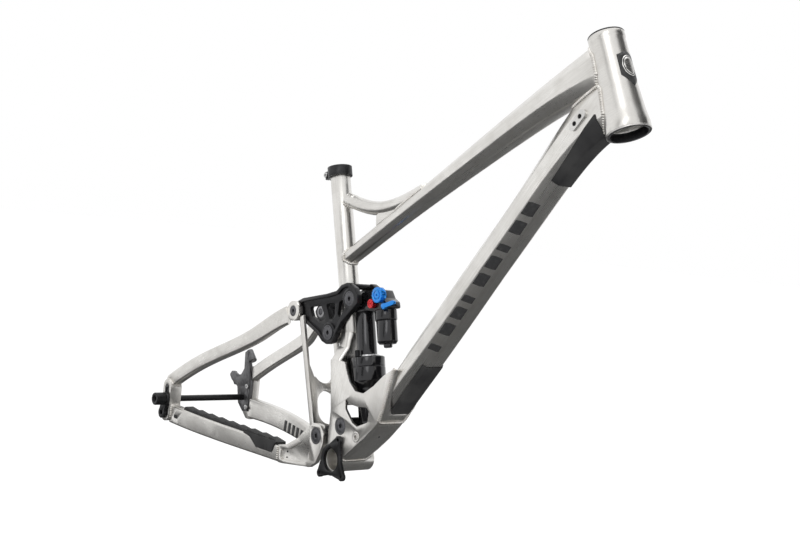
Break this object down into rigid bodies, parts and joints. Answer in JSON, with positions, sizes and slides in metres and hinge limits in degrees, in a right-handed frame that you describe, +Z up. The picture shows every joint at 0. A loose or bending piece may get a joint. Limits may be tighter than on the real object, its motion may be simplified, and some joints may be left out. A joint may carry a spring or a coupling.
{
  "type": "full-suspension bicycle frame",
  "caption": "Raw aluminium full-suspension mountain bike frame with rear shock, linkage, rear triangle and headset cups.",
  "frame": {"origin": "centre of the bottom bracket shell", "axes": "+X forward to the head tube, +Y to the rider's left, +Z up; the drive side is -Y"},
  "size_m": [1.075, 0.2205, 0.7333],
  "materials": {
    "raw_aluminium": "brushed raw aluminium under clear coat",
    "black_anodised": "satin black anodising",
    "cup_silver": "turned silver",
    "black_rubber": "matt moulded rubber",
    "steel_bolt": "turned steel",
    "bearing_steel": "ground steel with black seals",
    "shock_black": "gloss black anodising",
    "shock_silver": "turned silver",
    "cap_plastic": "black plastic",
    "dial_blue": "blue anodising",
    "dial_red": "red anodising"
  },
  "bodies": {
    "main_frame": {"head_tube": "raw_aluminium", "upper_headset_cup": "black_anodised", "lower_headset_cup": "cup_silver", "top_tube": "raw_aluminium", "down_tube": "raw_aluminium", "seat_tube": "raw_aluminium", "seat_tube_brace": "raw_aluminium", "seat_clamp": "black_anodised", "seat_clamp_bolt": "steel_bolt", "lower_down_tube_guard": "black_rubber", "upper_down_tube_guard": "black_rubber", "cable_port_insert": "cup_silver", "bottom_bracket_shell": "raw_aluminium", "cage_left_wall": "raw_aluminium", "cage_drive_wall": "raw_aluminium", "cage_floor": "raw_aluminium", "seat_tube_lug": "raw_aluminium", "chain_guide_mount": "black_anodised", "lower_link_axle": "black_anodised", "rocker_axle": "black_anodised", "shock_lower_bolt": "raw_aluminium"},
    "rocker": {"rocker_left_plate": "black_anodised", "rocker_drive_plate": "black_anodised", "rocker_bridge": "black_anodised", "rocker_bearings": "bearing_steel", "shock_upper_bolt": "black_anodised", "shock_upper_spacers": "shock_black"},
    "lower_link": {"lower_link": "black_anodised", "lower_link_bearings": "bearing_steel"},
    "rear_triangle": {"seatstay_left": "raw_aluminium", "seatstay_drive": "raw_aluminium", "chainstay_left": "raw_aluminium", "chainstay_drive": "raw_aluminium", "yoke_left": "raw_aluminium", "yoke_drive": "raw_aluminium", "front_brace": "raw_aluminium", "dropout_left": "raw_aluminium", "dropout_drive": "raw_aluminium", "dropout_keepers": "black_anodised", "brake_mount": "black_anodised", "brake_mount_bolts": "steel_bolt", "derailleur_hanger": "black_anodised", "rear_axle": "black_anodised", "rear_pivot_bolts": "black_anodised", "chainstay_pivot_axle": "black_anodised", "chainstay_protector": "black_rubber", "chainstay_port_plug": "black_rubber"},
    "shock_lower": {"shock_air_can": "shock_black", "air_can_seal_ring": "shock_silver", "air_valve_cap": "cap_plastic", "shock_lower_eyelet": "shock_black", "damper_shaft": "steel_bolt"},
    "shock_upper": {"damper_body": "shock_black", "air_piston": "shock_silver", "shock_head": "shock_black", "shock_reservoir": "shock_black", "reservoir_cap": "shock_black"},
    "compression_dial": {"compression_dial": "dial_blue"},
    "rebound_dial": {"rebound_dial": "dial_red"},
    "climb_lever": {"climb_lever": "shock_black"}
  },
  "joints": [
    {"name": "rocker_pivot", "type": "hinge", "parent": "main_frame", "child": "rocker", "pos_m": [-0.0566, 0, 0.2066], "axis": [0, 1, 0], "range_deg": [0, 45.6]},
    {"name": "seatstay_pivot", "type": "hinge", "parent": "rocker", "child": "rear_triangle", "pos_m": [-0.1528, 0, 0.232], "axis": [0, 1, 0], "range_deg": [-32.1, 0]},
    {"name": "lower_link_pivot", "type": "hinge", "parent": "main_frame", "child": "lower_link", "pos_m": [0.0103, 0, 0.0588], "axis": [0, 1, 0], "range_deg": [0, 40]},
    {"name": "shock_lower_pivot", "type": "hinge", "parent": "main_frame", "child": "shock_lower", "pos_m": [0.0543, 0, 0.0498], "axis": [0, 1, 0], "range_deg": [0, 6.3]},
    {"name": "shock_stroke", "type": "slide", "parent": "shock_lower", "child": "shock_upper", "axis": [0.2683, 0, -0.9633], "range_m": [0, 0.06]},
    {"name": "compression_dial_turn", "type": "hinge", "parent": "shock_upper", "child": "compression_dial", "pos_m": [0.05745, -0.02, 0.28446], "axis": [0, 1, 0], "range_deg": [0, 270]},
    {"name": "rebound_dial_turn", "type": "hinge", "parent": "shock_upper", "child": "rebound_dial", "pos_m": [0.04018, -0.019, 0.26822], "axis": [0, 1, 0], "range_deg": [0, 300]},
    {"name": "climb_lever_swing", "type": "hinge", "parent": "shock_upper", "child": "climb_lever", "pos_m": [0.07136, -0.018, 0.26809], "axis": [0, 1, 0], "range_deg": [0, 60]}
  ],
  "couplings": [
    {"joint": "seatstay_pivot", "follows": "rocker_pivot", "ratio": -0.7007},
    {"joint": "lower_link_pivot", "follows": "rocker_pivot", "ratio": 0.8746},
    {"joint": "shock_lower_pivot", "follows": "rocker_pivot", "ratio": 0.1354},
    {"joint": "shock_stroke", "follows": "rocker_pivot", "m_per_rad": 0.074252}
  ]
}
